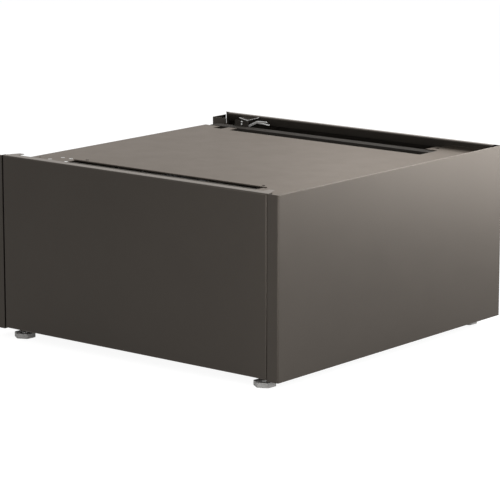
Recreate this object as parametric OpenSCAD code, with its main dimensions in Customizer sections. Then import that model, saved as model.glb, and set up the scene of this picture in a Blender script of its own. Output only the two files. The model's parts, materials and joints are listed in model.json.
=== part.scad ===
// Washer pedestal drawer: a low steel cabinet that lifts a front-loading washer,
// with one full-width drawer on telescopic slides and four screw-in levelling feet.
// Millimetres. The origin is on the floor under the middle of the cabinet,
// +X to the right, +Y to the back, +Z up. The drawer front faces -Y.

/* [Cabinet] */
// Width over the side panels
width = 686; // [660:1:720]
// Depth from the drawer front to the back panel's screw heads
depth = 687; // [680:1:740]
// Height from the floor to the rim
height = 350; // [340:1:420]
// Thickness of the folded sheet steel
sheet = 1.2; // [1:0.1:1.4]
// How far the deck that carries the washer lies below the rim
deck_drop = 14; // [13:0.5:16]
// Gap between the deck's side edge and the outside of the cabinet
deck_inset = 23; // [22:0.5:24]

/* [Drawer] */
// Gap between the drawer front and the cabinet's front returns
front_gap = 2; // [1.5:0.1:2.4]
// Thickness of the drawer front
front_thick = 15; // [14:0.5:15.5]
// Depth of the pull lip on top of the drawer front
lip_depth = 20; // [18:0.5:22]
// Height of the drawer box's walls
box_height = 228; // [150:1:230]
// Length of the drawer box behind the drawer front
box_length = 620; // [600:1:622]

/* [Slides and feet] */
// Length of each telescopic slide
slide_length = 600; // [560:1:610]
// Height of the slides' centre line above the floor
slide_z = 170; // [150:1:190]
// Balls in each row of a ball cage
balls_per_row = 6; // [4:1:8]
// Distance from the middle of a foot's hexagonal pad to its corners
pad_r = 20.5; // [18:0.25:21]
// Radius of a foot's stud
stud_r = 5; // [4:0.1:5.2]

/* [Hidden] */
$fn = 48;

steel_colour = [0.24, 0.22, 0.20];
deck_colour = [0.42, 0.39, 0.36];
inner_colour = [0.60, 0.60, 0.60];
plated_colour = [0.76, 0.76, 0.74];
blackened_colour = [0.20, 0.18, 0.16];
foot_colour = [0.66, 0.65, 0.63];
rubber_colour = [0.12, 0.12, 0.12];

// Planes of the cabinet
cut = 1;                           // how far a cutting shape runs past a face
half_w = width / 2;
front_y = -depth / 2;
back_y = depth / 2;
body_z = 17;                       // underside of the cabinet
deck_z = height - deck_drop;       // top face of the deck
deck_thick = 1.5;
under_deck = deck_z - deck_thick;
deck_edge = half_w - deck_inset;   // half the deck's width
deck_hem = 10;                     // depth of the deck's folded-down side edges
ledge_z = deck_z - deck_hem;       // top of the ledges that carry the deck
wall_in = half_w - sheet;          // inner face of a side wall
return_w = 24.3;                   // width of a side panel's front return
return_x = half_w - return_w;      // inner edge of that return
corner_r = 3;                      // radius of the upright front corners
head_h = 1.5;                      // height of the back panel's screw heads
back_out = back_y - head_h;        // outer face of the back panel
back_in = back_out - sheet;        // inner face of the back panel
back_half = half_w - 2 * sheet - 0.1;  // half the back panel's width
lip_front = back_in - 11.3;        // lip folded down inside the back panel's top
lip_half = half_w - 14;            // half that lip's width
ledge_in = deck_edge - 3;          // inner edge of the ledges that carry the deck
screw_clear = 0.15;                // play of a screw in its hole

// Drawer front
front_half = return_x - front_gap; // half its width
front_bottom = body_z + 2;
front_back = front_y + front_thick;
skin = 1;
ear_out = front_half - 10.7;       // outer edge of an ear at the end of the pull lip
ear_in = ear_out - 12;             // inner edge of that ear
ear_back = front_y + 36;

// Finger slot behind the lip, and the cut-out at the back of the deck
slot_half = half_w - 115;
slot_back = front_y + 104;
deck_front = front_y + 38;
deck_back = lip_front - 1;
vent_front = back_y - 121;
vent_half = half_w - 107;
tab_half = vent_half - 30;         // the cut-out narrows to this behind the ledge rail
tab_front = back_y - 61;
tab_back = back_y - 22;
step_half = tab_half + 10;         // and widens to this in front of the back panel
corner_front = vent_front + 27;    // front of the deck's open rear left corner
bolt_x = half_w - 130;             // bolt holes that hold the washer
bolt_front_y = front_y + 121;
bolt_x_rear = tab_half + 15;
bolt_rear_y = tab_back - 20;
bolt_r = 3.5;

// Rails
trough_front = deck_front + 2;
trough_back = slot_back - 12;
trough_z = height - 44;
rail_front = front_y + 18;
rail_depth = 42;
rail_top = body_z + 21;
rear_rail_back = back_in - sheet;
ledge_front = vent_front + 38;
ledge_back = ledge_front + 25;

// Telescopic slides: u runs from the cabinet towards the drawer
slide_u = 12.7;
slide_x = return_x - 1;            // cabinet side of the outer member
slide_front = front_y + 24;
slide_wall = 1.2;
outer_half = 22.8;
middle_half = 16.4;
inner_half = 9.8;
race_lip = 1.2;
ball_r = 2.3;
cage_length = 200;
cage_start = slide_front + 200;
cage_sheet = 0.6;
bracket_half = 30;                 // half the height of the channel behind a slide
bracket_front = front_y + 30;
bracket_back = back_y - 47;

// Drawer box
box_half = slide_x - slide_u;      // outer face of a drawer side
box_z = 42;
box_top = box_z + box_height;
box_back = front_back + box_length;
box_front_out = front_back + sheet;

// Feet
foot_x = half_w - 51;
foot_in_rail = 9;                  // from a bottom rail's front to a foot's middle
foot_front_y = rail_front + foot_in_rail;
foot_rear_y = rear_rail_back - rail_depth + foot_in_rail;
foot_places = [for (x = [-foot_x, foot_x], y = [foot_front_y, foot_rear_y]) [x, y]];
pad_h = 9.5;
pad_turn = 26;                     // of the pads' flats, in degrees
socket_depth = 5;                  // of the stud in its pad
nut_af = 16;                       // over the flats of a lock nut
lock_nut_h = 6;
weld_nut_h = 7;
stud_top = box_z - 3;
stud_play = 0.3;                   // of a stud in a rail or a lock nut

// ---- helpers ----

// A box between two corners
module block(x0, x1, y0, y1, z0, z1)
    translate([x0, y0, z0]) cube([x1 - x0, y1 - y0, z1 - z0]);

// A flat rectangle between two corners
module patch(x0, x1, y0, y1)
    translate([x0, y0]) square([x1 - x0, y1 - y0]);

// A flat rectangle with four round corners
module round_patch(x0, x1, y0, y1, r) {
    patch(x0 + r, x1 - r, y0, y1);
    patch(x0, x1, y0 + r, y1 - r);
    for (x = [x0 + r, x1 - r], y = [y0 + r, y1 - r])
        translate([x, y]) circle(r);
}

// A quarter of a ring, its corner towards (sx, sy) from its centre
module bend(x, y, r, thick, sx, sy)
    translate([x, y]) intersection() {
        difference() {
            circle(r);
            circle(r - thick);
        }
        patch(min(0, sx * r), max(0, sx * r), min(0, sy * r), max(0, sy * r));
    }

// A profile drawn in X and Z, swept along Y
module along_y(y0, y1)
    translate([0, y1, 0]) rotate([90, 0, 0]) linear_extrude(y1 - y0) children();

// A profile drawn in Y and Z, swept along X
module along_x(x0, x1)
    translate([x0, 0, 0]) rotate([90, 0, 90]) linear_extrude(x1 - x0) children();

// A profile drawn in X and Y, swept upwards
module upright(z0, z1)
    translate([0, 0, z0]) linear_extrude(z1 - z0) children();

module pin_y(x, z, r, y0, y1)
    translate([x, y1, z]) rotate([90, 0, 0]) cylinder(r = r, h = y1 - y0);

module pin_x(y, z, r, x0, x1)
    translate([x0, y, z]) rotate([0, 90, 0]) cylinder(r = r, h = x1 - x0);

module pin_z(x, y, r, z0, z1)
    translate([x, y, z0]) cylinder(r = r, h = z1 - z0);

// The left twin of a right-hand piece
module left_twin() mirror([1, 0, 0]) children();

// ---- cabinet shell ----

back_screw_x = half_w - 11;
back_screw_z = [for (i = [0:2]) body_z + 43 + 100 * i];
back_screw_r = 2;

// Front return of a side panel: round upright corner, flat return and folded hem
module front_return(top) {
    hem_back = front_y + 12;
    upright(body_z, top) {
        bend(half_w - corner_r, front_y + corner_r, corner_r, sheet, 1, -1);
        patch(return_x, half_w - corner_r, front_y, front_y + sheet);
        patch(return_x, return_x + sheet, front_y, hem_back);
    }
}

// Rear return that the back panel is screwed to
module rear_return(top) {
    margin = 9;                    // from a screw's middle to the return's edge
    difference() {
        block(back_screw_x - margin, wall_in, back_in - sheet, back_in, body_z, top);
        for (z = back_screw_z)
            pin_y(back_screw_x, z, back_screw_r + screw_clear, back_in - sheet - cut,
                  back_in + cut);
    }
}

// Bottom flange, and the ledge under the deck's edge, which runs out to ledge_out
module side_flanges(ledge_out) {
    along_y(front_y + corner_r, back_in)
        patch(return_x, wall_in, body_z, body_z + sheet);
    along_y(deck_front, back_in)
        patch(ledge_in, ledge_out, ledge_z - sheet, ledge_z);
}

module side_panel_right()
    color(steel_colour) {
        rim_top = height - sheet;
        rear_return(ledge_z - sheet);
        front_return(height);
        side_flanges(wall_in);
        along_y(front_y + corner_r, back_out) {
            patch(wall_in, half_w, body_z, rim_top);
            // the rim is folded over to double thickness
            patch(half_w - 2 * sheet, wall_in, ledge_z, rim_top);
            translate([wall_in, rim_top]) circle(sheet);
        }
    }

// The left wall folds straight into the deck ledge, without a rim
module side_panel_left()
    color(steel_colour) left_twin() {
        left_fold_r = 2.5;
        rear_return(ledge_z - sheet);
        front_return(height);
        side_flanges(half_w - left_fold_r);
        along_y(front_y + corner_r, back_out) {
            patch(wall_in, half_w, body_z, ledge_z - left_fold_r);
            bend(half_w - left_fold_r, ledge_z - left_fold_r, left_fold_r, sheet, 1, 1);
        }
    }

module back_panel() {
    lip_z = height - 16;
    fold_r = 2.5;
    color(steel_colour) difference() {
        union() {
            along_x(-back_half, back_half) {
                patch(back_in, back_out, body_z + 2 * sheet, height - fold_r);
                bend(back_out - fold_r, height - fold_r, fold_r, sheet, 1, 1);
            }
            along_x(-lip_half, lip_half) {
                patch(lip_front + fold_r, back_out - fold_r, height - sheet, height);
                bend(lip_front + fold_r, height - fold_r, fold_r, sheet, -1, 1);
                patch(lip_front, lip_front + sheet, lip_z, height - fold_r);
            }
        }
        for (x = [-back_screw_x, back_screw_x], z = back_screw_z)
            pin_y(x, z, back_screw_r + screw_clear, back_in - cut, back_out + cut);
    }
}

module back_screws() {
    head_r = 4.5;
    shank = 7;
    color(plated_colour)
        for (x = [-back_screw_x, back_screw_x], z = back_screw_z) {
            pin_y(x, z, head_r, back_out, back_y);
            pin_y(x, z, back_screw_r, back_out - shank, back_out);
        }
}

// ---- deck ----

// Holes and screws near the deck's front left corner, from the cabinet's left and front
deck_screws_at = [for (p = [[67, 86], [75, 112.5], [96, 112.5], [110, 84.5]])
    p + [-half_w, front_y]];
drain_at = [38 - half_w, front_y + 89];
drain_r = 2.5;
deck_screw_r = 2;
deck_screw_head_r = 4;

module deck_outline() {
    corner_round = 5;
    relief_round = 2;
    relief_x = 62 - half_w;        // left edge of the relief for the corner bracket
    relief_w = 22;
    relief_front = vent_front + 4;
    difference() {
        patch(-deck_edge, deck_edge, deck_front, deck_back);
        // finger slot behind the pull lip, open to the front
        round_patch(-slot_half, slot_half, deck_front - 2 * corner_round, slot_back, corner_round);
        // cut-out at the back, narrower behind the ledge rail
        round_patch(-vent_half, vent_half, vent_front, tab_front, corner_round);
        patch(-vent_half, tab_half, tab_front - 2 * corner_round, tab_back);
        patch(-vent_half, step_half, tab_back, back_in);
        // open rear left corner with a relief for the corner bracket
        patch(-deck_edge - cut, -vent_half + cut, corner_front, back_in);
        round_patch(relief_x, relief_x + relief_w, relief_front,
                    corner_front + 2 * relief_round, relief_round);
        for (x = [-bolt_x, bolt_x])
            translate([x, bolt_front_y]) circle(bolt_r);
        translate([bolt_x_rear, bolt_rear_y]) circle(bolt_r);
        translate(drain_at) circle(drain_r);
    }
}

module top_plate() {
    bead_r = 1.5;
    bead_y = slot_back + bead_r + 0.5;
    bead_half = slot_half + 4;
    // upstand in front of the back panel's lip, as [distance from the deck's edge, height]
    upstand = [[deck_edge - step_half - 2, 0.5], [82, 4.3], [45, 4.3], [23, 9.5], [2, 9.5]];
    color(deck_colour) {
        difference() {
            upright(under_deck, deck_z) deck_outline();
            for (p = deck_screws_at)
                translate([p[0], p[1], under_deck])
                    cylinder(r1 = deck_screw_r + screw_clear,
                             r2 = deck_screw_head_r + screw_clear, h = deck_thick);
        }
        // folded-down side edges that rest on the ledges
        block(-deck_edge, -deck_edge + sheet, deck_front, corner_front, ledge_z, under_deck);
        block(deck_edge - sheet, deck_edge, deck_front, deck_back, ledge_z, under_deck);
        // half-round bead along the back of the finger slot
        intersection() {
            pin_x(bead_y, deck_z, bead_r, -bead_half, bead_half);
            block(-bead_half, bead_half, bead_y - bead_r, bead_y + bead_r, deck_z, height);
        }
        along_y(deck_back - sheet, deck_back)
            polygon(concat([[deck_edge - upstand[4][0], deck_z], [deck_edge - upstand[0][0], deck_z]],
                           [for (p = upstand) [deck_edge - p[0], deck_z + p[1]]]));
    }
}

// Countersunk screws, flush with the deck
module deck_screws() {
    below_deck = 0.1;
    shank = 8;
    color(plated_colour)
        for (p = deck_screws_at)
            translate([p[0], p[1], under_deck]) {
                cylinder(r1 = deck_screw_r, r2 = deck_screw_head_r, h = deck_thick - below_deck);
                pin_z(0, 0, deck_screw_r, -shank, 0);
            }
}

// Two hat channels under the deck
module deck_stiffeners() {
    hat_x = 110;
    hat_w = 60;
    hat_h = 20;
    brim = 14;
    color(steel_colour)
        for (x = [-hat_x, hat_x])
            along_y(slot_back + 22, vent_front - 12) translate([x, under_deck]) {
                for (m = [0, 1])
                    mirror([m, 0]) {
                        patch(hat_w / 2, hat_w / 2 + brim, -sheet, 0);
                        patch(hat_w / 2 - sheet, hat_w / 2, -hat_h, 0);
                    }
                patch(-hat_w / 2, hat_w / 2, -hat_h, sheet - hat_h);
            }
}

// ---- rails ----

// Trough under the finger slot, with flanges under the deck at its ends
module front_top_rail() {
    front_wall = 16;
    flange = 14;
    slot_margin = 6;
    color(steel_colour) difference() {
        union() {
            block(-ledge_in, ledge_in, trough_front, trough_back, trough_z, trough_z + sheet);
            block(-ledge_in, ledge_in, trough_front, trough_front + sheet,
                  trough_z, trough_z + front_wall);
            block(-ledge_in, ledge_in, trough_back, trough_back + sheet, trough_z, under_deck);
            for (m = [0, 1])
                mirror([m, 0, 0])
                    block(slot_half + slot_margin, ledge_in, trough_back - flange,
                          slot_back + flange, under_deck - sheet, under_deck);
        }
        for (p = deck_screws_at)
            pin_z(p[0], p[1], deck_screw_r + screw_clear, under_deck - sheet - cut, under_deck + cut);
    }
}

// A channel across the bottom that carries two feet
module bottom_rail(y0, foot_y) {
    rail_half = return_x - 0.2;
    y1 = y0 + rail_depth;
    difference() {
        union() {
            block(-rail_half, rail_half, y0, y1, body_z, body_z + deck_thick);
            for (y = [y0, y1 - sheet])
                block(-rail_half, rail_half, y, y + sheet, body_z, rail_top);
        }
        for (x = [-foot_x, foot_x])
            pin_z(x, foot_y, stud_r + stud_play, body_z - cut, body_z + deck_thick + cut);
    }
}

module front_bottom_rail() color(steel_colour) bottom_rail(rail_front, foot_front_y);

module rear_bottom_rail()
    color(steel_colour) bottom_rail(rear_rail_back - rail_depth, foot_rear_y);

// Channel along a side, between the cross rails, resting on the bottom flange
module base_rail_right() {
    rail_in = return_x - 18;
    rail_out = wall_in - 0.4;
    z0 = body_z + sheet;
    color(steel_colour)
        along_y(rail_front + rail_depth, rear_rail_back - rail_depth) {
            patch(rail_in, rail_out, z0, z0 + sheet);
            patch(rail_out - sheet, rail_out, z0 + sheet, rail_top + 12);
            patch(rail_in, rail_in + sheet, z0 + sheet, rail_top - 4);
        }
}

module base_rail_left() left_twin() base_rail_right();

// Cross rail that shows in the cut-out at the back of the deck
module rear_ledge_rail() {
    web = 34;
    foot = 12;
    color(steel_colour)
        along_x(-ledge_in, ledge_in) translate([ledge_front, under_deck]) {
            patch(0, ledge_back - ledge_front, -sheet, 0);
            patch(0, sheet, -web, -sheet);
            patch(sheet, foot, -web, sheet - web);
        }
}

// Upright bracket in a rear corner, with a leg along the side wall; x_in is its inner edge
module corner_bracket(x_in) {
    x_out = wall_in - 1.5;
    y_front = lip_front - 33;
    y_back = back_in - 3;
    z_top = height - 5.5;
    color(steel_colour)
        upright(ledge_z, z_top) {
            patch(x_in, x_out, y_front, y_front + sheet);
            patch(x_out - sheet, x_out, y_front + sheet, y_back);
        }
}

// The right one stands outside the deck; the left one reaches into the deck's open corner
module rear_corner_bracket_right() corner_bracket(deck_edge + 0.8);
module rear_corner_bracket_left() left_twin() corner_bracket(deck_edge - 15);

// Channel that brings a slide inboard of the front return
module slide_bracket_right()
    color(steel_colour)
        along_y(bracket_front, bracket_back) translate([slide_x, slide_z]) {
            patch(0, sheet, -bracket_half, bracket_half);
            for (z = [-bracket_half, bracket_half - sheet])
                patch(sheet, wall_in - slide_x, z, z + sheet);
        }

module slide_bracket_left() left_twin() slide_bracket_right();

// ---- telescopic slides ----

// A channel section open towards the drawer, from u0 to u1, with race lips
module slide_section(u0, u1, half, lip)
    translate([slide_x, slide_z]) {
        patch(-u0 - slide_wall, -u0, -half, half);
        for (m = [0, 1])
            mirror([0, m]) {
                patch(-u1, -u0 - slide_wall, half - slide_wall, half);
                patch(-u1, slide_wall - u1, half - slide_wall - lip, half - slide_wall);
            }
    }

module slide_outer_right()
    color(plated_colour)
        along_y(slide_front, slide_front + slide_length)
            slide_section(0, 10.4, outer_half, race_lip);

module slide_middle_right()
    color(plated_colour)
        along_y(slide_front, slide_front + slide_length)
            slide_section(2.4, 11, middle_half, race_lip);

drawer_screw_y = [for (d = [60, slide_length / 2 - 10, slide_length - 60]) slide_front + d];
drawer_screw_r = 2;

module slide_inner_right() {
    flange_out = slide_x - 4.7;
    color(plated_colour) difference() {
        along_y(slide_front, slide_front + slide_length) {
            patch(box_half, box_half + slide_wall, slide_z - inner_half, slide_z + inner_half);
            for (z = [slide_z - inner_half, slide_z + inner_half - slide_wall])
                patch(box_half + slide_wall, flange_out, z, z + slide_wall);
        }
        for (y = drawer_screw_y)
            pin_x(y, slide_z, drawer_screw_r + screw_clear, box_half - cut, box_half + slide_wall + cut);
    }
}

module slide_outer_left() left_twin() slide_outer_right();
module slide_middle_left() left_twin() slide_middle_right();
module slide_inner_left() left_twin() slide_inner_right();

// Strip cage from u0 to u1 with an upper and a lower row of loose balls at ball_u
module ball_cage(u0, u1, half, ball_u) {
    web = 0.4;
    ball_play = 0.1;
    pitch = cage_length / balls_per_row;
    rows = [for (s = [-1, 1], i = [0:balls_per_row - 1])
        [slide_x - ball_u, cage_start + pitch * (i + 0.5), slide_z + s * (half - cage_sheet / 2)]];
    difference() {
        along_y(cage_start, cage_start + cage_length) {
            patch(slide_x - u0 - web, slide_x - u0, slide_z - half, slide_z + half);
            for (z = [slide_z - half, slide_z + half - cage_sheet])
                patch(slide_x - u1, slide_x - u0 - web, z, z + cage_sheet);
        }
        for (p = rows)
            translate(p - [0, 0, cage_sheet]) cylinder(r = ball_r + ball_play, h = 2 * cage_sheet);
    }
    for (p = rows)
        translate(p) sphere(ball_r);
}

module outer_ball_cage_right() color(plated_colour) ball_cage(1.5, 8.4, 19.3, 5.2);
module inner_ball_cage_right() color(plated_colour) ball_cage(3.9, 9.4, 12.8, 6.9);
module outer_ball_cage_left() left_twin() outer_ball_cage_right();
module inner_ball_cage_left() left_twin() inner_ball_cage_right();

// ---- retaining clip for the washer, at the rear left ----

clip_x = 89 - half_w;
clip_y = ledge_back;
clip_screws_z = [height - 12, height - 7];
clip_screw_r = 1.2;

module retainer_base() {
    rim_gap = 4;
    below_deck = 12;
    color(steel_colour) difference() {
        block(clip_x - 18, clip_x + 16, clip_y, clip_y + sheet, under_deck - below_deck,
              height - rim_gap);
        for (z = clip_screws_z)
            pin_y(clip_x, z, clip_screw_r + screw_clear, clip_y - cut, clip_y + sheet + cut);
    }
}

module retainer_screws() {
    head_r = 2.2;
    head_h = 1.2;
    shank = 4;
    color(plated_colour)
        for (z = clip_screws_z) {
            pin_y(clip_x, z, head_r, clip_y - head_h, clip_y);
            pin_y(clip_x, z, clip_screw_r, clip_y, clip_y + shank);
        }
}

// Slanted arm with a forked end, drawn from the clip's middle and the rim
module retainer_arm() {
    arm_y = clip_y + sheet;
    arm_thick = 2;
    color(plated_colour)
        along_y(arm_y, arm_y + arm_thick) translate([clip_x, height])
            polygon([[-4, -22], [7, -22], [38, -6.5], [69, -9], [70, -6.5],
                     [47, -4], [64, -3], [64, -1], [38, -1.5]]);
}

// V-shaped leaf on the back panel's lip
module retainer_spring() {
    leaf_w = 8;
    color(plated_colour)
        along_y(lip_front - leaf_w, lip_front) translate([clip_x, height])
            polygon([[-37, -7], [-15, -11], [11, -3.5], [11, -2], [-15, -9.5], [-37, -5.5]]);
}

// ---- drawer ----

// Outside of the drawer front, with round upright, top and bottom edges
module front_solid(inset, back) {
    r = corner_r - inset;
    round_back = back + 2 * corner_r;
    intersection() {
        upright(front_bottom + inset, height - inset)
            round_patch(-front_half + inset, front_half - inset, front_y + inset, round_back, r);
        along_x(-front_half, front_half)
            round_patch(front_y + inset, round_back, front_bottom + inset, height - inset, r);
        block(-width, width, front_y, back, 0, height);
    }
}

module drawer_front_skin() {
    lip_back = front_y + lip_depth;
    grip = 7;
    color(steel_colour) {
        difference() {
            front_solid(0, front_back);
            front_solid(skin, front_back + cut);
        }
        // pull lip with a folded-down edge, and an ear at each end
        block(-front_half + corner_r, front_half - corner_r, front_back, lip_back,
              height - skin, height);
        block(-ear_in, ear_in, lip_back - skin, lip_back, height - grip, height - skin);
        for (s = [-1, 1])
            upright(height - skin, height) scale([s, 1])
                polygon([[ear_in, lip_back], [front_half - corner_r, lip_back],
                         [ear_out, ear_back], [ear_in, ear_back]]);
    }
}

module drawer_front_liner()
    color(inner_colour) difference() {
        block(-front_half + skin, front_half - skin, front_back - sheet, front_back,
              front_bottom + skin, height - skin);
        for (p = front_screws_at)
            pin_y(p[0], p[1], front_screw_r + screw_clear, front_back - sheet - cut,
                  front_back + cut);
    }

// Upright hat channels between the skin and the liner
module drawer_front_stiffeners() {
    hat_x = 160;
    hat_half = 20;
    brim_half = 32;
    end_gap = 20;
    brim_front = front_back - 2 * sheet;
    color(inner_colour)
        for (x = [-hat_x, 0, hat_x])
            upright(front_bottom + end_gap, height - end_gap) translate([x, 0]) {
                patch(-hat_half, hat_half, front_y + skin, front_y + skin + sheet);
                for (m = [0, 1])
                    mirror([m, 0])
                        patch(hat_half - sheet, hat_half, front_y + skin + sheet, brim_front);
                patch(-brim_half, brim_half, brim_front, front_back - sheet);
            }
}

front_screws_at = [for (x = [-270, -80, 80, 270], z = [box_z + 30, box_top - 30]) [x, z]];
front_screw_r = 2.2;

module drawer_box_front()
    color(inner_colour) difference() {
        block(-box_half + sheet, box_half - sheet, front_back, box_front_out, box_z + sheet, box_top);
        for (p = front_screws_at)
            pin_y(p[0], p[1], front_screw_r + screw_clear, front_back - cut, box_front_out + cut);
    }

module drawer_front_screws() {
    head_r = 5;
    head_h = 2;
    color(plated_colour)
        for (p = front_screws_at) {
            pin_y(p[0], p[1], head_r, box_front_out, box_front_out + head_h);
            pin_y(p[0], p[1], front_screw_r, front_back - 2 * sheet, box_front_out);
        }
}

// Side wall with a rolled top edge
module drawer_side_right() {
    roll_r = 2.4;
    color(inner_colour) difference() {
        along_y(front_back, box_back) {
            patch(box_half - sheet, box_half, box_z + sheet, box_top - 2 * roll_r);
            translate([box_half - roll_r, box_top - roll_r]) circle(roll_r);
            patch(box_half - sheet, box_half, box_top - 2 * roll_r, box_top - roll_r);
        }
        // the roll stops at the front and back walls
        block(0, box_half - sheet, front_y, box_front_out, 0, height);
        block(0, box_half - sheet, box_back - sheet, back_y, 0, height);
        for (y = drawer_screw_y)
            pin_x(y, slide_z, drawer_screw_r + screw_clear, box_half - sheet - cut, box_half + cut);
    }
}

module drawer_side_left() left_twin() drawer_side_right();

module drawer_back() {
    lower_by = 20;
    color(inner_colour)
        block(-box_half + sheet, box_half - sheet, box_back - sheet, box_back,
              box_z + sheet, box_top - lower_by);
}

// Floor with four pressed beads along the drawer
module drawer_floor() {
    bead_r = 3;
    bead_pitch = 140;
    bead_end = 60;
    floor_top = box_z + sheet;
    color(inner_colour) {
        block(-box_half, box_half, front_back, box_back, box_z, floor_top);
        for (i = [-1.5:1.5])
            translate([i * bead_pitch, 0, floor_top - bead_r / 3]) intersection() {
                pin_y(0, 0, bead_r, front_back + bead_end, box_back - bead_end);
                block(-bead_r, bead_r, front_back, box_back, bead_r / 3, bead_r);
            }
    }
}

module drawer_slide_screws() {
    head_r = 4;
    head_h = 1.8;
    side_in = box_half - sheet;
    color(plated_colour)
        for (m = [0, 1], y = drawer_screw_y)
            mirror([m, 0, 0]) {
                pin_x(y, slide_z, head_r, side_in - head_h, side_in);
                pin_x(y, slide_z, drawer_screw_r, side_in, box_half + slide_wall);
            }
}

// Buffers on the liner that stop just short of the bottom rail's front
module drawer_bumpers() {
    buffer_x = 250;
    buffer_r = 5;
    gap = 0.3;
    color(rubber_colour)
        for (x = [-buffer_x, buffer_x])
            pin_y(x, (body_z + rail_top) / 2 + buffer_r / 2, buffer_r, front_back, rail_front - gap);
}

// ---- levelling feet ----

module weld_nuts() {
    nut_r = 7.4;
    thread_play = 0.06;
    z0 = body_z + deck_thick;
    color(plated_colour)
        for (p = foot_places)
            difference() {
                pin_z(p[0], p[1], nut_r, z0, z0 + weld_nut_h);
                pin_z(p[0], p[1], stud_r + thread_play, z0 - cut, z0 + weld_nut_h + cut);
            }
}

module lock_nuts()
    color(blackened_colour)
        for (p = foot_places)
            difference() {
                translate([p[0], p[1], body_z - lock_nut_h])
                    cylinder(r = nut_af / sqrt(3), h = lock_nut_h, $fn = 6);
                pin_z(p[0], p[1], stud_r + stud_play, body_z - lock_nut_h - cut, body_z + cut);
            }

// Hexagonal pad with turned corners and a socket for the stud
module foot_pad(x, y) {
    hexagon_r = pad_r + 0.4;       // before its corners are turned
    turned_h = 1;                  // height of the turned-down corners
    turned_r = pad_r - 1.5 * turned_h;
    color(foot_colour) translate([x, y, 0]) intersection() {
        rotate([0, 0, pad_turn]) cylinder(r = hexagon_r, h = pad_h, $fn = 6);
        rotate_extrude()
            polygon([[0, 0], [turned_r, 0], [pad_r, turned_h], [pad_r, pad_h - turned_h],
                     [turned_r, pad_h], [stud_r, pad_h],
                     [stud_r, pad_h - socket_depth], [0, pad_h - socket_depth]]);
    }
}

// Stud with a collar above the pad
module foot_stud(x, y) {
    collar_r = stud_r + 1.8;
    collar_h = 1.5;
    color(plated_colour) translate([x, y, 0]) {
        pin_z(0, 0, stud_r, pad_h - socket_depth, stud_top);
        pin_z(0, 0, collar_r, pad_h, pad_h + collar_h);
    }
}

module foot_pad_front_left() foot_pad(-foot_x, foot_front_y);
module foot_pad_front_right() foot_pad(foot_x, foot_front_y);
module foot_pad_rear_left() foot_pad(-foot_x, foot_rear_y);
module foot_pad_rear_right() foot_pad(foot_x, foot_rear_y);
module foot_stud_front_left() foot_stud(-foot_x, foot_front_y);
module foot_stud_front_right() foot_stud(foot_x, foot_front_y);
module foot_stud_rear_left() foot_stud(-foot_x, foot_rear_y);
module foot_stud_rear_right() foot_stud(foot_x, foot_rear_y);

// ---- nodes ----

side_panel_right();
side_panel_left();
back_panel();
top_plate();
deck_stiffeners();
front_top_rail();
front_bottom_rail();
rear_bottom_rail();
base_rail_right();
base_rail_left();
rear_ledge_rail();
rear_corner_bracket_right();
rear_corner_bracket_left();
slide_bracket_right();
slide_bracket_left();
slide_outer_right();
slide_outer_left();
retainer_base();
retainer_arm();
retainer_spring();
retainer_screws();
deck_screws();
back_screws();
weld_nuts();
lock_nuts();
drawer_front_skin();
drawer_front_liner();
drawer_front_stiffeners();
drawer_box_front();
drawer_side_right();
drawer_side_left();
drawer_back();
drawer_floor();
slide_inner_right();
slide_inner_left();
drawer_front_screws();
drawer_slide_screws();
drawer_bumpers();
slide_middle_right();
slide_middle_left();
outer_ball_cage_right();
outer_ball_cage_left();
inner_ball_cage_right();
inner_ball_cage_left();
foot_pad_front_left();
foot_pad_front_right();
foot_pad_rear_left();
foot_pad_rear_right();
foot_stud_front_left();
foot_stud_front_right();
foot_stud_rear_left();
foot_stud_rear_right();
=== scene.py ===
"""Washer pedestal drawer: finishes, fine detail, studio light and the photograph's camera.

Everything is in metres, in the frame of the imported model: +X right, +Y back, +Z up, floor at z = 0.
"""
import json
import math

import bmesh
import bpy
from mathutils import Matrix, Vector


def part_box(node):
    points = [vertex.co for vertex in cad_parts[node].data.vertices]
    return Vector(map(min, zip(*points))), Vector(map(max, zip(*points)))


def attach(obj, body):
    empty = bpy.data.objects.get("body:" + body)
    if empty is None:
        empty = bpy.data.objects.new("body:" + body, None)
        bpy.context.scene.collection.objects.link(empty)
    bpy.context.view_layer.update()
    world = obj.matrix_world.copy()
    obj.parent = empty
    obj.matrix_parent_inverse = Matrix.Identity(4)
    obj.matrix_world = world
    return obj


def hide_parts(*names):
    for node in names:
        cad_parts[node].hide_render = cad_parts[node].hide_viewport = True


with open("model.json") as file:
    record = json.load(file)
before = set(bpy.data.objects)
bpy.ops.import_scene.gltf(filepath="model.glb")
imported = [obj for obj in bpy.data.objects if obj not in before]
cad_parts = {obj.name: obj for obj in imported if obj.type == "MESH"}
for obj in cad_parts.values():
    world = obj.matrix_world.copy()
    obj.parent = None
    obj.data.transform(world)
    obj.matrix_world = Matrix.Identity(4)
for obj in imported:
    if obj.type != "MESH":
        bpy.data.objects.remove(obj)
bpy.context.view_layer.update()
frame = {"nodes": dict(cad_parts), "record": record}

MM = 0.001
CORNERS = ("front_left", "front_right", "rear_left", "rear_right")
SIDES = ("right", "left")

# Vertices this close are one, and faces or edges that turn less than this are flat or smooth
WELD = 0.002 * MM
FLAT = math.radians(0.2)
SHARP = math.radians(38)

# Press radius on the edges of folded sheet, and steps in a full turn of a lathed solid
PRESS_ROUND = 0.3 * MM
TURNED_STEPS = 40

# Screws and feet
SCREW_PITCH = 0.5 * MM
STUD_R = 5 * MM
STUD_PITCH = 1.5 * MM
COLLAR_H = 1.5 * MM
COLLAR_EDGE = 0.3 * MM
NUT_FLATS = 16 * MM
NUT_CLEARANCE = 0.2 * MM
PAD_R = 20.5 * MM
PAD_TURN = math.radians(26)

# Nearly all values of a noise texture lie between these
NOISE_SPAN = (0.3, 0.7)

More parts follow.
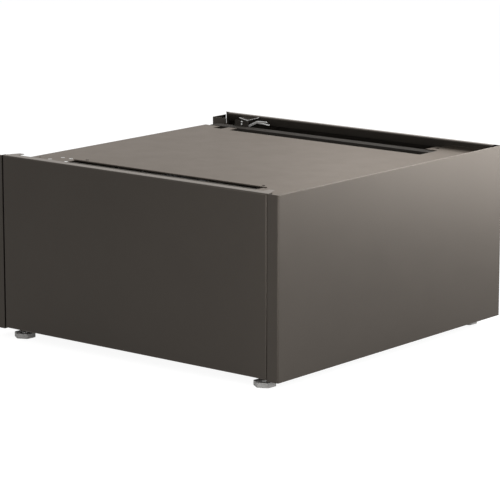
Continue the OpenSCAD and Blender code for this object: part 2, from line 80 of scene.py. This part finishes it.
# The camera, solved from the photograph's straight edges
VIEW_AZIMUTH = math.radians(39.19)
VIEW_ELEVATION = math.radians(11.62)
CAMERA_AT = Vector((3.1121, -3.8167, 1.1681))
LENS = 189.7
SENSOR = 36.0
CLIP_START, CLIP_END = 0.1, 100

# Strength of the world's white where it lights the object; where it is seen, it is 1
AMBIENT = 0.42

# Points on the cabinet that the lamps are aimed at
BODY_MIDDLE = (0, 0, 0.2)
DECK_MIDDLE = (0, 0, 0.34)
SIDE_REAR = (0.343, 0.2, 0.2)
SIDE_FRONT = (0.343, -0.1, 0.2)
FRONT_FACE = (0.15, -0.34, 0.2)
FRONT_CORNER = (0.32, -0.34, 0.2)
RIGHT_RIM = (0.343, 0, 0.35)

# Name, place, point aimed at, width and height, and radiance of each softbox
LAMPS = (
    ("overhead", (-0.3, 0.2, 3.0), BODY_MIDDLE, (2.4, 2.4), 0.6),
    ("rear_high", (-0.6, 2.6, 1.6), DECK_MIDDLE, (2.4, 1.2), 1.1),
    ("right_rear_near", (0.95, 1.35, 0.42), SIDE_REAR, (0.9, 0.84), 2.4),
    ("right_rear", (1.5, 1.9, 0.62), SIDE_REAR, (1.6, 1.2), 7.2),
    ("right_low", (1.9, -0.5, 0.5), SIDE_FRONT, (1.2, 1.0), 1.5),
    ("front_low", (0.15, -1.4, 0.45), FRONT_FACE, (1.0, 0.8), 1.2),
    ("rim", (0.3, 1.9, 1.75), RIGHT_RIM, (1.4, 0.7), 7.5),
    ("corner", (0.76, -0.64, 0.27), FRONT_CORNER, (0.26, 0.5), 5.5),
)


# ---- node helpers ----

def new_material(name):
    """A node material and its principled shader."""
    material = bpy.data.materials.new(name)
    material.use_nodes = True
    return material, material.node_tree, material.node_tree.nodes["Principled BSDF"]


def add_node(tree, kind, **inputs):
    """A shader node, with the values of some of its sockets."""
    node = tree.nodes.new(kind)
    for socket, value in inputs.items():
        node.inputs[socket.replace("_", " ")].default_value = value
    return node


def noise(tree, scale, detail=2.0, stretch=(1, 1, 1)):
    """Noise of some features to the metre of the object, stretched along an axis."""
    place = tree.nodes.new("ShaderNodeTexCoord")
    mapping = add_node(tree, "ShaderNodeMapping", Scale=stretch)
    texture = add_node(tree, "ShaderNodeTexNoise", Scale=scale, Detail=detail)
    tree.links.new(place.outputs["Object"], mapping.inputs["Vector"])
    tree.links.new(mapping.outputs["Vector"], texture.inputs["Vector"])
    return texture.outputs["Fac"]


def cells(tree, scale):
    """A random value for each cell of a Voronoi pattern, of some cells to the metre."""
    place = tree.nodes.new("ShaderNodeTexCoord")
    texture = add_node(tree, "ShaderNodeTexVoronoi", Scale=scale)
    tree.links.new(place.outputs["Object"], texture.inputs["Vector"])
    split = tree.nodes.new("ShaderNodeSeparateColor")
    tree.links.new(texture.outputs["Color"], split.inputs["Color"])
    return split.outputs["Red"]


def remap(tree, value, low, high, span=(0.0, 1.0)):
    """A value that lies within span, turned into one from low to high."""
    ramp = add_node(tree, "ShaderNodeMapRange", From_Min=span[0], From_Max=span[1],
                    To_Min=low, To_Max=high)
    tree.links.new(value, ramp.inputs["Value"])
    return ramp.outputs["Result"]


def mix_colours(tree, blend_type="MIX"):
    """A node that mixes two colours."""
    mix = tree.nodes.new("ShaderNodeMix")
    mix.data_type = "RGBA"
    mix.blend_type = blend_type
    return mix


def blend_colours(tree, value, colour, darkest, lightest):
    """A colour made darker or lighter by a value from 0 to 1."""
    mix = mix_colours(tree)
    for socket, factor in (("A", darkest), ("B", lightest)):
        mix.inputs[socket].default_value = (*(min(1.0, c * factor) for c in colour), 1)
    tree.links.new(value, mix.inputs["Factor"])
    return mix.outputs["Result"]


def mottle(tree, colour, scale, detail, darkest, lightest):
    """A colour that drifts darker and lighter in soft clouds."""
    cloud = remap(tree, noise(tree, scale, detail), 0.0, 1.0, NOISE_SPAN)
    return blend_colours(tree, cloud, colour, darkest, lightest)


def vary_roughness(tree, shader, scale, detail, low, high):
    """A gloss that differs softly from place to place."""
    rough = remap(tree, noise(tree, scale, detail), low, high, NOISE_SPAN)
    tree.links.new(rough, shader.inputs["Roughness"])


def add_bump(tree, shader, height, distance, strength):
    """Relief too fine to model."""
    bump = add_node(tree, "ShaderNodeBump", Distance=distance, Strength=strength)
    tree.links.new(height, bump.inputs["Height"])
    tree.links.new(bump.outputs["Normal"], shader.inputs["Normal"])


# ---- materials ----

def painted_steel(name, colour, roughness, metallic=0.5):
    """Satin enamel with metal flake: a tinted sheen, slightly uneven, with faint orange peel."""
    flake_share, gloss_drift = 0.10, 0.01
    material, tree, shader = new_material(name)
    base = mottle(tree, colour, scale=7.0, detail=4.0, darkest=0.97, lightest=1.03)
    flake = mix_colours(tree, "MULTIPLY")
    flake.inputs["Factor"].default_value = flake_share
    tree.links.new(base, flake.inputs["A"])
    tree.links.new(cells(tree, scale=1800.0), flake.inputs["B"])
    tree.links.new(flake.outputs["Result"], shader.inputs["Base Color"])
    vary_roughness(tree, shader, scale=28.0, detail=3.0,
                   low=roughness - gloss_drift, high=roughness + gloss_drift)
    shader.inputs["Metallic"].default_value = metallic
    shader.inputs["Specular IOR Level"].default_value = 0.35
    shader.inputs["Specular Tint"].default_value = (1.0, 0.90, 0.81, 1)
    add_bump(tree, shader, noise(tree, scale=900.0), distance=0.02 * MM, strength=0.25)
    return material


def matt_primer(name, colour):
    """Flat primer on the frame inside the cabinet."""
    material, tree, shader = new_material(name)
    base = mottle(tree, colour, scale=18.0, detail=4.0, darkest=0.9, lightest=1.1)
    tree.links.new(base, shader.inputs["Base Color"])
    vary_roughness(tree, shader, scale=60.0, detail=2.0, low=0.72, high=0.82)
    shader.inputs["Specular IOR Level"].default_value = 0.06
    add_bump(tree, shader, noise(tree, scale=700.0), distance=0.04 * MM, strength=0.4)
    return material


def galvanised_steel(name, colour):
    """Zinc-coated sheet with its spangle of flat crystals."""
    material, tree, shader = new_material(name)
    crystal = cells(tree, scale=85.0)
    base = blend_colours(tree, crystal, colour, darkest=0.86, lightest=1.1)
    tree.links.new(base, shader.inputs["Base Color"])
    tree.links.new(remap(tree, crystal, low=0.34, high=0.52), shader.inputs["Roughness"])
    shader.inputs["Metallic"].default_value = 0.85
    add_bump(tree, shader, noise(tree, scale=400.0), distance=0.04 * MM, strength=0.3)
    return material


def plated_steel(name, colour, stretch=(1, 1, 1)):
    """Bright zinc plating over drawn steel, with fine draw lines along one axis."""
    material, tree, shader = new_material(name)
    lines = noise(tree, scale=260.0, detail=3.0, stretch=stretch)
    tone = remap(tree, lines, 0.0, 1.0, NOISE_SPAN)
    base = blend_colours(tree, tone, colour, darkest=0.88, lightest=1.06)
    tree.links.new(base, shader.inputs["Base Color"])
    rough = remap(tree, lines, low=0.28, high=0.36, span=NOISE_SPAN)
    tree.links.new(rough, shader.inputs["Roughness"])
    shader.inputs["Metallic"].default_value = 1.0
    add_bump(tree, shader, lines, distance=0.02 * MM, strength=0.3)
    return material


def moulded_plastic(name, colour):
    """Grey nylon with a fine spark-eroded grain."""
    material, tree, shader = new_material(name)
    base = mottle(tree, colour, scale=60.0, detail=3.0, darkest=0.92, lightest=1.05)
    tree.links.new(base, shader.inputs["Base Color"])
    vary_roughness(tree, shader, scale=300.0, detail=2.0, low=0.42, high=0.56)
    add_bump(tree, shader, noise(tree, scale=1500.0), distance=0.05 * MM, strength=0.4)
    return material


def soft_rubber(name, colour):
    """Dark rubber with a dull, dusty skin."""
    material, tree, shader = new_material(name)
    base = mottle(tree, colour, scale=120.0, detail=3.0, darkest=0.8, lightest=1.3)
    tree.links.new(base, shader.inputs["Base Color"])
    vary_roughness(tree, shader, scale=200.0, detail=2.0, low=0.68, high=0.85)
    add_bump(tree, shader, noise(tree, scale=900.0), distance=0.06 * MM, strength=0.5)
    return material


PAINT = painted_steel("cabinet_paint", (0.042, 0.0365, 0.031), roughness=0.29)
# The deck's enamel has more metal and a duller gloss than the cabinet paint, and a slightly lighter,
# warmer base colour that is painted light for the bright top
LIT_DECK_PAINT = painted_steel("deck_paint_painted_light", (0.046, 0.039, 0.032), roughness=0.39, metallic=0.7)
PRIMER = matt_primer("frame_primer", (0.046, 0.041, 0.036))
# A lighter copy of the frame primer: painted light, standing in for light that the top rail in the
# finger slot's shade does not get
LIT_RAIL_PRIMER = matt_primer("rail_primer_painted_light", (0.20, 0.185, 0.165))
# A dark satin steel with some metal in it, used on the lock nuts
DARK_NUT_STEEL = painted_steel("dark_nut_steel", (0.028, 0.025, 0.022), roughness=0.5, metallic=0.3)
GALVANISED = galvanised_steel("galvanised_sheet", (0.46, 0.465, 0.47))
PLATED = plated_steel("zinc_plating", (0.66, 0.66, 0.65))
PLATED_RAIL = plated_steel("drawn_rail", (0.60, 0.60, 0.60), stretch=(1, 0.03, 1))
PLASTIC = moulded_plastic("foot_nylon", (0.27, 0.265, 0.255))
RUBBER = soft_rubber("buffer_rubber", (0.022, 0.022, 0.022))

# The look of each material slot, where a piece names no other
LOOKS = {
    "cabinet_steel": PRIMER,
    "deck_steel": LIT_DECK_PAINT,
    "inner_steel": GALVANISED,
    "plated_steel": PLATED,
    "blackened_steel": DARK_NUT_STEEL,
    "foot_plastic": PLASTIC,
    "rubber": RUBBER,
}
SLOTS = {part["node"]: part["material_slot"] for part in frame["record"]["subparts"]}
BODY_OF = {
    node: body
    for body, nodes in frame["record"]["behaviour"]["bodies"].items()
    for node in nodes
}


# ---- mesh helpers ----

def smooth(mesh):
    """Smooth shading, kept sharp at real edges."""
    for polygon in mesh.polygons:
        polygon.use_smooth = True
    mesh.set_sharp_from_angle(angle=SHARP)


def add_piece(name, mesh, material, replaced):
    """A finished piece that stands for CAD nodes of one body and slot, and rides on that body."""
    body, slot = BODY_OF[replaced[0]], SLOTS[replaced[0]]
    piece = bpy.data.objects.new(name, mesh)
    bpy.context.scene.collection.objects.link(piece)
    mesh.materials.append(material)
    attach(piece, body)
    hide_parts(*replaced)
    return piece


def mesh_from(bm, name):
    """A smoothly shaded mesh; the bmesh is used up."""
    mesh = bpy.data.meshes.new(name)
    bmesh.ops.recalc_face_normals(bm, faces=bm.faces)
    bm.to_mesh(mesh)
    bm.free()
    smooth(mesh)
    return mesh


def round_edges(piece, width, segments):
    """Rounds the marked edges of a piece, as a press or a file leaves them."""
    bevel = piece.modifiers.new("edges", "BEVEL")
    bevel.width = width
    bevel.segments = segments
    bevel.limit_method = "WEIGHT"
    bevel.use_clamp_overlap = False
    bevel.miter_outer = "MITER_ARC"


def keep_flats(piece):
    """Shades flat faces flat and curved ones smooth."""
    piece.modifiers.new("normals", "WEIGHTED_NORMAL").keep_sharp = True


def flat_region(first):
    """The faces that lie in one plane with a face and reach it through each other."""
    region, todo = [first], [first]
    seen = {first}
    while todo:
        for edge in todo.pop().edges:
            if not edge.is_manifold or edge.calc_face_angle() > FLAT:
                continue
            for face in edge.link_faces:
                if face not in seen:
                    seen.add(face)
                    region.append(face)
                    todo.append(face)
    return region


def join_flat_faces(bm):
    """Joins faces that lie in one plane, and says whether none of them is pierced by a hole.

    Every face also keeps the area of the flat region that it belonged to.
    """
    done, inner, whole = set(), [], True
    flat_area = bm.faces.layers.float.new("flat_area")
    for first in bm.faces:
        if first in done:
            continue
        region = flat_region(first)
        faces = set(region)
        done |= faces
        area = sum(face.calc_area() for face in region)
        for face in region:
            face[flat_area] = area
        edges = dict.fromkeys(edge for face in region for edge in face.edges)
        verts = {vert for face in region for vert in face.verts}
        if len(verts) - len(edges) + len(region) == 1:
            inner += [edge for edge in edges if all(face in faces for face in edge.link_faces)]
        else:
            whole = False
    bmesh.ops.dissolve_limit(bm, angle_limit=FLAT, verts=bm.verts,
                             edges=list(dict.fromkeys(inner)))
    return whole


def shade_by_angle(mesh):
    """Gives each face corner the mean normal of the faces round it that turn less than SHARP."""
    around = [[] for _ in mesh.vertices]
    for polygon in mesh.polygons:
        for vert in polygon.vertices:
            around[vert].append(polygon.index)
    facing_way = [polygon.normal.copy() for polygon in mesh.polygons]
    weight = [value.value for value in mesh.attributes["flat_area"].data]
    limit = math.cos(SHARP)
    normals = []
    for polygon in mesh.polygons:
        own = facing_way[polygon.index]
        for vert in polygon.vertices:
            near = [i for i in around[vert] if facing_way[i].dot(own) > limit]
            total = sum((facing_way[i] * weight[i] for i in near), Vector())
            normals.append(total.normalized())
    mesh.normals_split_custom_set(normals)


def mark_edges(bm):
    """Marks the sharp edges, which get rounded on unpierced pieces."""
    weight = bm.edges.layers.float.new("bevel_weight_edge")
    for edge in bm.edges:
        if edge.is_manifold and edge.calc_face_angle() > SHARP:
            edge[weight] = 1.0


def dressed(node, material=None, width=PRESS_ROUND, segments=2):
    """The CAD node's own shape, cleanly shaded, and rounded at its edges if it is unpierced."""
    bm = bmesh.new()
    bm.from_mesh(frame["nodes"][node].data)
    bmesh.ops.remove_doubles(bm, verts=bm.verts, dist=WELD)
    whole = join_flat_faces(bm)
    mark_edges(bm)
    mesh = mesh_from(bm, node)
    piece = add_piece(node + "_dressed", mesh, material or LOOKS[SLOTS[node]], [node])
    if whole:
        round_edges(piece, width, segments)
        keep_flats(piece)
    else:
        shade_by_angle(mesh)


def wall(bm, below, above):
    """Joins two closed rings of as many vertices by a band of faces."""
    count = len(below)
    for i in range(count):
        j = (i + 1) % count
        bm.faces.new([below[i], below[j], above[j], above[i]])


def lathe(bm, profile):
    """Adds a solid turned about the Z axis, from (radius, height) points that end on the axis."""
    rings = []
    for radius, height in profile:
        if radius < WELD:
            rings.append([bm.verts.new((0, 0, height))])
            continue
        turns = [2 * math.pi * i / TURNED_STEPS for i in range(TURNED_STEPS)]
        rings.append([bm.verts.new((radius * math.cos(a), radius * math.sin(a), height))
                      for a in turns])
    for low, high in zip(rings, rings[1:]):
        for i in range(TURNED_STEPS):
            j = (i + 1) % TURNED_STEPS
            corners = [low[i % len(low)], low[j % len(low)],
                       high[j % len(high)], high[i % len(high)]]
            corners = list(dict.fromkeys(corners))
            if len(corners) > 2:
                bm.faces.new(corners)


def joined(parts, name):
    """One mesh from copies of meshes, each set down by a matrix."""
    bm = bmesh.new()
    for mesh, matrix in parts:
        piece = mesh.copy()
        piece.transform(matrix)
        bm.from_mesh(piece)
        bpy.data.meshes.remove(piece)
    return mesh_from(bm, name)


def cut(solid, tool):
    """The solid without the tool, both meshes; the tool is used up."""
    objects = []
    for mesh in (solid, tool):
        objects.append(bpy.data.objects.new("cutting", mesh))
        bpy.context.scene.collection.objects.link(objects[-1])
    boolean = objects[0].modifiers.new("cut", "BOOLEAN")
    boolean.operation = "DIFFERENCE"
    boolean.solver = "EXACT"
    boolean.object = objects[1]
    graph = bpy.context.evaluated_depsgraph_get()
    result = bpy.data.meshes.new_from_object(objects[0].evaluated_get(graph))
    for piece in objects:
        bpy.data.objects.remove(piece)
    bpy.data.meshes.remove(tool)
    smooth(result)
    return result


def facing(point, normal):
    """A matrix that sets a piece drawn about +Z down at a point, facing along a normal."""
    turn = Vector((0, 0, 1)).rotation_difference(Vector(normal)).to_matrix().to_4x4()
    return Matrix.Translation(Vector(point)) @ turn


def islands(node):
    """Boxes of the separate solids in a CAD node, as (low, high) corners."""
    bm = bmesh.new()
    bm.from_mesh(frame["nodes"][node].data)
    bmesh.ops.remove_doubles(bm, verts=bm.verts, dist=WELD)
    todo = set(bm.verts)
    boxes = []
    while todo:
        group = [todo.pop()]
        low, high = group[0].co.copy(), group[0].co.copy()
        while group:
            vert = group.pop()
            low = Vector(map(min, low, vert.co))
            high = Vector(map(max, high, vert.co))
            for edge in vert.link_edges:
                other = edge.other_vert(vert)
                if other in todo:
                    todo.remove(other)
                    group.append(other)
        boxes.append((low, high))
    bm.free()
    return sorted(boxes, key=lambda box: tuple(round(c, 5) for c in box[0]))


# ---- screws ----

def cross_tool(radius, depth, top):
    """A cross-shaped plug, tapered downwards, for a cross recess whose mouth is at top."""
    arm, half_width = 0.62 * radius, 0.13 * radius
    foot_reach, mouth_reach = 0.45, 1.25
    bm = bmesh.new()
    rings = []
    for height, reach in ((top - depth, foot_reach), (top + depth, mouth_reach)):
        quarter = [(reach * arm, -half_width), (reach * arm, half_width),
                   (half_width, half_width)]
        rings.append([
            bm.verts.new(Matrix.Rotation(k * math.pi / 2, 4, "Z") @ Vector((x, y, height)))
            for k in range(4) for x, y in quarter
        ])
    bm.faces.new(rings[0][::-1])
    bm.faces.new(rings[1])
    wall(bm, *rings)
    return mesh_from(bm, "plug")


def threaded(radius, pitch, low, high, steps=24, per_turn=6):
    """A rod whose surface rises and falls along a helix, with flat ends."""
    bm = bmesh.new()
    depth = 0.5 * pitch
    count = max(2, round((high - low) / pitch * per_turn))
    rings = []
    for k in range(count + 1):
        height = low + (high - low) * k / count
        ring = []
        for i in range(steps):
            turn = i / steps
            phase = (height / pitch - turn) % 1.0
            crest = abs(2 * phase - 1)
            r = radius - depth * (1 - crest)
            angle = 2 * math.pi * turn
            ring.append(bm.verts.new((r * math.cos(angle), r * math.sin(angle), height)))
        rings.append(ring)
    for below, above in zip(rings, rings[1:]):
        wall(bm, below, above)
    bm.faces.new(rings[0][::-1])
    bm.faces.new(rings[-1])
    return mesh_from(bm, "thread")


def pan_head(radius, height, shank_radius, shank):
    """A domed head with a rolled rim and a cross recess, on a threaded shank below z = 0."""
    foot_radius, foot_rise = 0.97 * radius, 0.12 * height
    rim = 0.45 * height
    recess = 0.6 * height
    dome_steps = 6
    bm = bmesh.new()
    dome = [(radius * math.cos(a), rim + (height - rim) * math.sin(a))
            for a in (math.pi / 2 * i / dome_steps for i in range(dome_steps + 1))]
    lathe(bm, [(0, 0), (foot_radius, 0), (radius, foot_rise)] + dome)
    head = cut(mesh_from(bm, "pan_head"), cross_tool(radius, recess, height))
    rod = threaded(shank_radius, SCREW_PITCH, -shank, 0)
    return joined([(head, Matrix()), (rod, Matrix())], "pan_screw")


def flush_head(radius, height, shank_radius, shank):
    """A countersunk head with its flat top at z = 0 and a cross recess."""
    rim_radius, top_radius = radius - 0.1 * MM, radius - 0.25 * MM
    rim_low, rim_high = -0.2 * MM, -0.06 * MM
    recess = 0.7 * height
    bm = bmesh.new()
    lathe(bm, [(0, -height), (shank_radius, -height), (rim_radius, rim_low),
               (rim_radius, rim_high), (top_radius, 0), (0, 0)])
    head = cut(mesh_from(bm, "flush_head"), cross_tool(radius, recess, 0))
    rod = threaded(shank_radius, SCREW_PITCH, -height - shank, -height)
    return joined([(head, Matrix()), (rod, Matrix())], "flush_screw")


def place_screws(node, screw, seat):
    """Replaces a node of screws by detailed ones; seat turns a box into (point, normal)."""
    parts = [(screw, facing(*seat(low, high))) for low, high in islands(node)]
    add_piece(node + "_detailed", joined(parts, node), PLATED, [node])


def make_screws():
    """Every group of screws, with recesses and threads."""
    back_head_h, front_head_h, slide_head_h, clip_head_h = 1.5 * MM, 2.0 * MM, 1.8 * MM, 1.2 * MM

    def behind(low, high):
        middle = (low + high) / 2
        return (middle.x, high.y - back_head_h, middle.z), (0, 1, 0)

    def in_box(low, high):
        middle = (low + high) / 2
        return (middle.x, high.y - front_head_h, middle.z), (0, 1, 0)

    def on_side(low, high):
        middle = (low + high) / 2
        side = 1 if low.x > 0 else -1
        head = low.x if side > 0 else high.x
        return (head + side * slide_head_h, middle.y, middle.z), (-side, 0, 0)

    def on_clip(low, high):
        middle = (low + high) / 2
        return (middle.x, low.y + clip_head_h, middle.z), (0, -1, 0)

    def on_deck(low, high):
        middle = (low + high) / 2
        return (middle.x, middle.y, high.z), (0, 0, 1)

    back = pan_head(4.5 * MM, back_head_h, shank_radius=2 * MM, shank=7 * MM)
    place_screws("back_screws", back, behind)
    front = pan_head(5 * MM, front_head_h, shank_radius=2.2 * MM, shank=3.6 * MM)
    place_screws("drawer_front_screws", front, in_box)
    slide = pan_head(4 * MM, slide_head_h, shank_radius=2 * MM, shank=2.4 * MM)
    place_screws("drawer_slide_screws", slide, on_side)
    clip = pan_head(2.2 * MM, clip_head_h, shank_radius=1.2 * MM, shank=4 * MM)
    place_screws("retainer_screws", clip, on_clip)
    deck = flush_head(4 * MM, 1.4 * MM, shank_radius=2 * MM, shank=8 * MM)
    place_screws("deck_screws", deck, on_deck)


# ---- feet ----

def chamfered_nut(flats, height, bore, steps=72):
    """A hexagon nut with its corners turned down at both ends, and a chamfered bore."""
    rim, slope, lead = 0.485 * flats, math.tan(math.radians(30)), 0.4 * MM

    def ring(radius, height_at):
        turns = [2 * math.pi * i / steps for i in range(steps)]
        return [bm.verts.new((radius(a) * math.cos(a), radius(a) * math.sin(a), height_at(a)))
                for a in turns]

    def hexagon(a):
        return flats / 2 / math.cos(a % (math.pi / 3) - math.pi / 6)

    bm = bmesh.new()
    outer = [
        ring(lambda a: rim, lambda a: 0),
        ring(hexagon, lambda a: slope * (hexagon(a) - rim)),
        ring(hexagon, lambda a: height - slope * (hexagon(a) - rim)),
        ring(lambda a: rim, lambda a: height),
    ]
    mouth = bore + lead
    hole = ((mouth, height), (bore, height - lead), (bore, lead), (mouth, 0))
    inner = [ring(lambda a, r=r: r, lambda a, z=z: z) for r, z in hole]
    loop = outer + inner + outer[:1]
    for below, above in zip(loop, loop[1:]):
        wall(bm, below, above)
    return mesh_from(bm, "nut")


def hexagonal_pad(low, high):
    """A moulded hexagonal pad between two heights, its upright edges and both rims rounded."""
    edge_round, rim_round = 2.6 * MM, 0.9 * MM
    edge_steps, rim_steps, circular = 6, 4, 0.5
    reach = PAD_R + edge_round * (1 / math.cos(math.pi / 6) - 1)
    bm = bmesh.new()
    turns = [PAD_TURN + i * math.pi / 3 for i in range(6)]
    base = [bm.verts.new((reach * math.cos(a), reach * math.sin(a), low)) for a in turns]
    top = [bm.verts.new((v.co.x, v.co.y, high)) for v in base]
    bm.faces.new(base[::-1])
    bm.faces.new(top)
    wall(bm, base, top)
    upright = [e for e in bm.edges if abs(e.verts[0].co.z - e.verts[1].co.z) > WELD]
    bmesh.ops.bevel(bm, geom=upright, offset=edge_round * math.tan(math.pi / 6),
                    segments=edge_steps, profile=circular, affect="EDGES")
    rims = [e for e in bm.edges if abs(e.verts[0].co.z - e.verts[1].co.z) < WELD]
    bmesh.ops.bevel(bm, geom=rims, offset=rim_round,
                    segments=rim_steps, profile=circular, affect="EDGES")
    return mesh_from(bm, "pad")


def make_foot(corner):
    """A moulded hexagonal pad, and a threaded stud with a collar."""
    pad, stud = "foot_pad_" + corner, "foot_stud_" + corner
    low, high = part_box(stud)
    at = Matrix.Translation(((low.x + high.x) / 2, (low.y + high.y) / 2, 0))
    collar = (high.x - low.x) / 2
    floor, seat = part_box(pad)[0].z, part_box(pad)[1].z
    pad_mesh = joined([(hexagonal_pad(floor, seat), at)], pad)
    keep_flats(add_piece(pad + "_moulded", pad_mesh, PLASTIC, [pad]))
    top = seat + COLLAR_H
    bm = bmesh.new()
    lathe(bm, [(0, seat), (collar - COLLAR_EDGE, seat), (collar, seat + COLLAR_EDGE),
               (collar, top - COLLAR_EDGE), (collar - COLLAR_EDGE, top), (0, top)])
    collar_mesh = mesh_from(bm, "collar")
    rod_foot = seat + 0.8 * COLLAR_H
    rod = threaded(STUD_R, STUD_PITCH, rod_foot, high.z, steps=32, per_turn=8)
    add_piece(stud + "_threaded", joined([(rod, at), (collar_mesh, at)], stud), PLATED, [stud])


def make_nuts():
    """Dark lock nuts under the rails, and round weld nuts on top of them."""
    boxes = islands("lock_nuts")
    height = boxes[0][1].z - boxes[0][0].z
    nut = chamfered_nut(NUT_FLATS, height, STUD_R + NUT_CLEARANCE)
    parts = [(nut, Matrix.Translation(((low.x + high.x) / 2, (low.y + high.y) / 2, low.z)))
             for low, high in boxes]
    add_piece("lock_nuts_detailed", joined(parts, "lock_nuts"), DARK_NUT_STEEL, ["lock_nuts"])
    dressed("weld_nuts", PLATED)


# ---- assembly ----

def make_shells():
    """Painted sheet-metal pieces, with the radius that a press leaves on their edges."""
    for side in SIDES:
        dressed("side_panel_" + side, PAINT)
        dressed("rear_corner_bracket_" + side, PAINT)
        dressed("base_rail_" + side)
        dressed("slide_bracket_" + side)
        dressed("drawer_side_" + side)
    dressed("back_panel", PAINT)
    # The deck plate gets the enamel whose lighter base colour is partly painted light
    dressed("top_plate", LIT_DECK_PAINT)
    dressed("drawer_front_skin", PAINT, 0.35 * MM)
    # The top rail and deck stiffeners get the lighter primer, whose colour paints light onto the
    # shaded rail
    for node in ("deck_stiffeners", "front_top_rail"):
        dressed(node, LIT_RAIL_PRIMER)
    for node in ("front_bottom_rail", "rear_bottom_rail", "rear_ledge_rail", "retainer_base",
                 "drawer_front_liner", "drawer_front_stiffeners", "drawer_box_front",
                 "drawer_back", "drawer_floor"):
        dressed(node)
    dressed("retainer_arm", PLATED, 0.5 * MM, 3)
    dressed("retainer_spring", PLATED)
    dressed("drawer_bumpers", RUBBER, 0.8 * MM, 3)


def make_slides():
    """Drawn rails and stamped ball cages of the two telescopic slides."""
    for side in SIDES:
        for member in ("outer", "middle", "inner"):
            dressed(f"slide_{member}_{side}", PLATED_RAIL)
        for cage in ("outer", "inner"):
            dressed(f"{cage}_ball_cage_{side}", PLATED)


# ---- camera, stage and light ----

def make_camera():
    """The photograph's view."""
    data = bpy.data.cameras.new("camera")
    data.lens = LENS
    data.sensor_width = SENSOR
    data.clip_start, data.clip_end = CLIP_START, CLIP_END
    camera = bpy.data.objects.new("camera", data)
    bpy.context.scene.collection.objects.link(camera)
    back = Vector((math.sin(VIEW_AZIMUTH) * math.cos(VIEW_ELEVATION),
                   -math.cos(VIEW_AZIMUTH) * math.cos(VIEW_ELEVATION),
                   math.sin(VIEW_ELEVATION)))
    camera.location = CAMERA_AT
    camera.rotation_mode = "QUATERNION"
    camera.rotation_quaternion = (-back).to_track_quat("-Z", "Y")
    bpy.context.scene.camera = camera


def add_up(tree, *terms):
    """The sum of (output, weight) pairs, kept within 0 and 1."""
    total = None
    for output, weight in terms:
        scaled = tree.nodes.new("ShaderNodeMath")
        scaled.operation = "MULTIPLY_ADD"
        scaled.use_clamp = True
        scaled.inputs[1].default_value = weight
        scaled.inputs[2].default_value = 0.0
        tree.links.new(output, scaled.inputs[0])
        if total:
            tree.links.new(total, scaled.inputs[2])
        total = scaled.outputs["Value"]
    return total


def seen_directly(tree, by_camera=1.0, by_gloss=1.0):
    """How far a ray shows the background itself: from the camera, off gloss or through glass."""
    path = tree.nodes.new("ShaderNodeLightPath").outputs
    return add_up(tree, (path["Is Camera Ray"], by_camera), (path["Is Glossy Ray"], by_gloss),
                  (path["Is Transmission Ray"], by_camera))


def make_floor():
    """A pale floor that shows white and keeps the object's soft shadow."""
    half_size, white_share, gloss_share, glow, tone = 40.0, 0.75, 0.42, 1.22, 0.86
    bm = bmesh.new()
    bmesh.ops.create_grid(bm, x_segments=1, y_segments=1, size=half_size)
    mesh = mesh_from(bm, "floor")
    floor = bpy.data.objects.new("floor", mesh)
    bpy.context.scene.collection.objects.link(floor)
    material, tree, shader = new_material("floor")
    shader.inputs["Base Color"].default_value = (tone, tone, tone, 1)
    shader.inputs["Roughness"].default_value = 0.9
    shader.inputs["Specular IOR Level"].default_value = 0.0
    light = add_node(tree, "ShaderNodeEmission", Strength=glow)
    mix = tree.nodes.new("ShaderNodeMixShader")
    tree.links.new(seen_directly(tree, white_share, gloss_share), mix.inputs["Fac"])
    tree.links.new(shader.outputs["BSDF"], mix.inputs[1])
    tree.links.new(light.outputs["Emission"], mix.inputs[2])
    tree.links.new(mix.outputs["Shader"], tree.nodes["Material Output"].inputs["Surface"])
    mesh.materials.append(material)


def make_world():
    """White where it is seen, and a plain soft grey where it lights."""
    world = bpy.data.worlds.new("studio")
    bpy.context.scene.world = world
    world.use_nodes = True
    tree = world.node_tree
    strength = remap(tree, seen_directly(tree), low=AMBIENT, high=1.0)
    background = tree.nodes["Background"]
    background.inputs["Color"].default_value = (1, 1, 1, 1)
    tree.links.new(strength, background.inputs["Strength"])


def softbox(name, at, aim, size, radiance):
    """A soft rectangular lamp of an even radiance, not seen by the camera."""
    width, height = size
    data = bpy.data.lights.new(name, "AREA")
    data.shape = "RECTANGLE"
    data.size, data.size_y = width, height
    data.energy = radiance * math.pi * width * height
    lamp = bpy.data.objects.new(name, data)
    lamp.location = at
    lamp.rotation_mode = "QUATERNION"
    lamp.rotation_quaternion = (Vector(aim) - Vector(at)).to_track_quat("-Z", "Y")
    lamp.visible_camera = False
    bpy.context.scene.collection.objects.link(lamp)


bpy.context.scene.view_settings.view_transform = "Standard"
make_camera()
make_world()
make_floor()
for lamp in LAMPS:
    softbox(*lamp)
make_shells()
make_slides()
make_screws()
make_nuts()
for place in CORNERS:
    make_foot(place)
